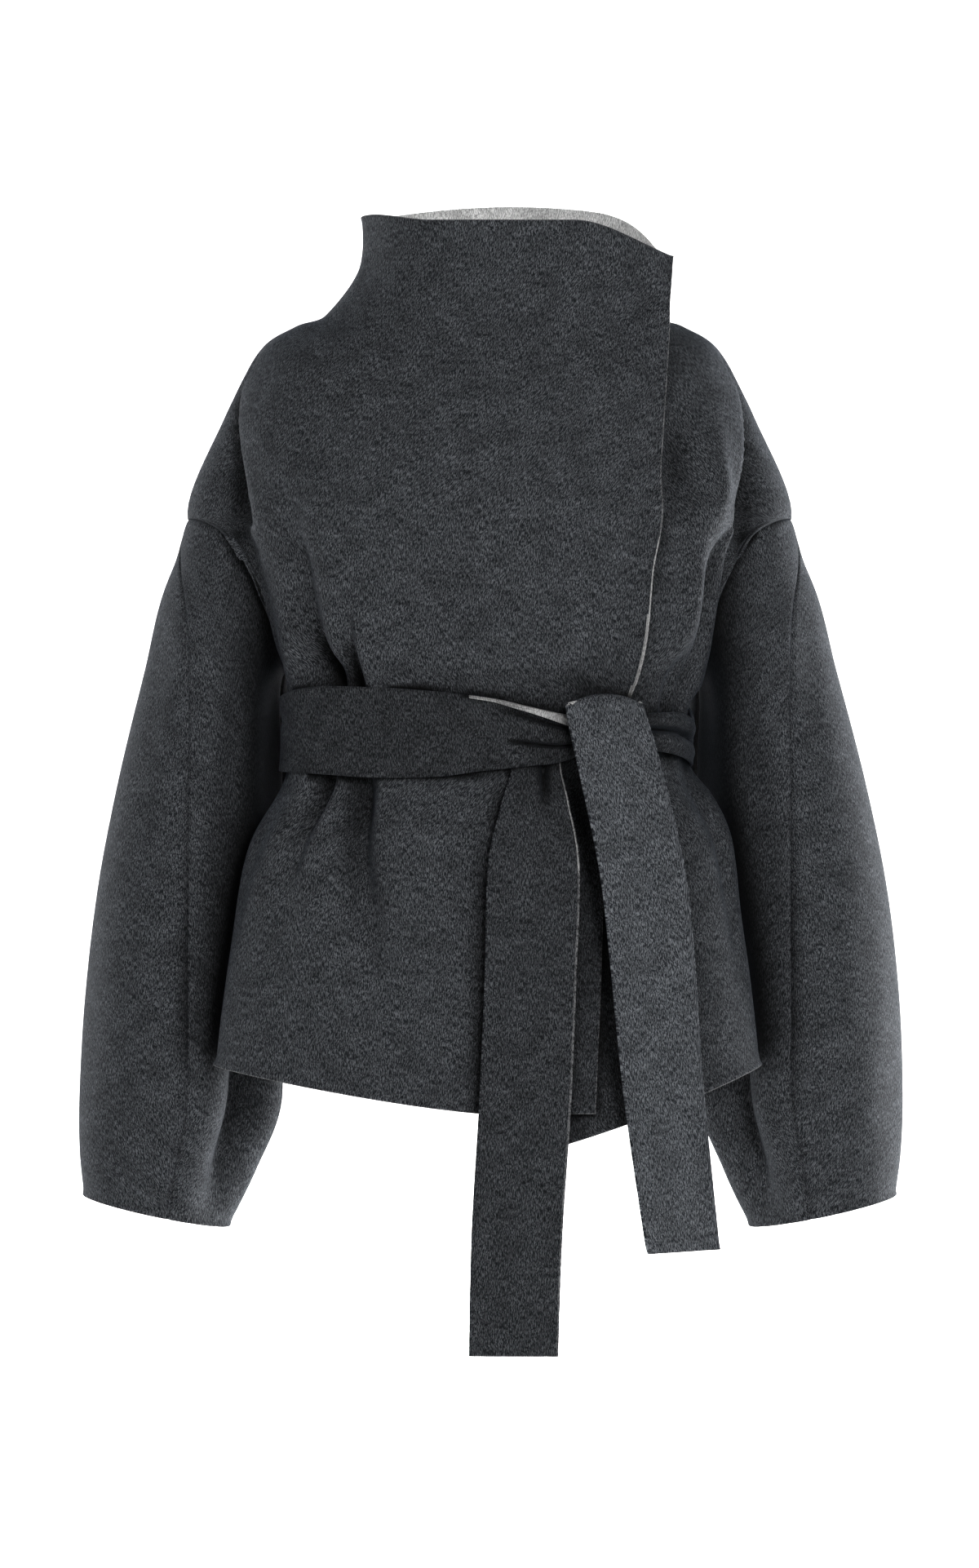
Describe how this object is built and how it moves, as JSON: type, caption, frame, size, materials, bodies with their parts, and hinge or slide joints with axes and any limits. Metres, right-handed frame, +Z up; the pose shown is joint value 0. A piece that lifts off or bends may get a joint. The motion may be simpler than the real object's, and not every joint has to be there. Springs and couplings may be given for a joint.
{
  "type": "short wrap coat",
  "caption": "Short wrap coat in double-faced wool, hollow as worn, with a standing funnel collar, dropped shoulders, full sleeves and a tied sash.",
  "frame": {"origin": "middle of the coat at the height where the neck meets the shoulders, where a wearer's shoulders carry it", "axes": "+Z up, -Y towards the front, +X towards the wearer's left"},
  "size_m": [0.6262, 0.3131, 0.8625],
  "materials": {
    "charcoal_wool": "napped wool, matt, with a lighter grey inside"
  },
  "bodies": {
    "root": {"front_right": "charcoal_wool", "front_left": "charcoal_wool", "back": "charcoal_wool", "sleeve_right_front": "charcoal_wool", "sleeve_right_back": "charcoal_wool", "sleeve_left_front": "charcoal_wool", "sleeve_left_back": "charcoal_wool", "sash_band": "charcoal_wool", "sash_long_end": "charcoal_wool", "sash_short_end": "charcoal_wool"}
  },
  "joints": []
}
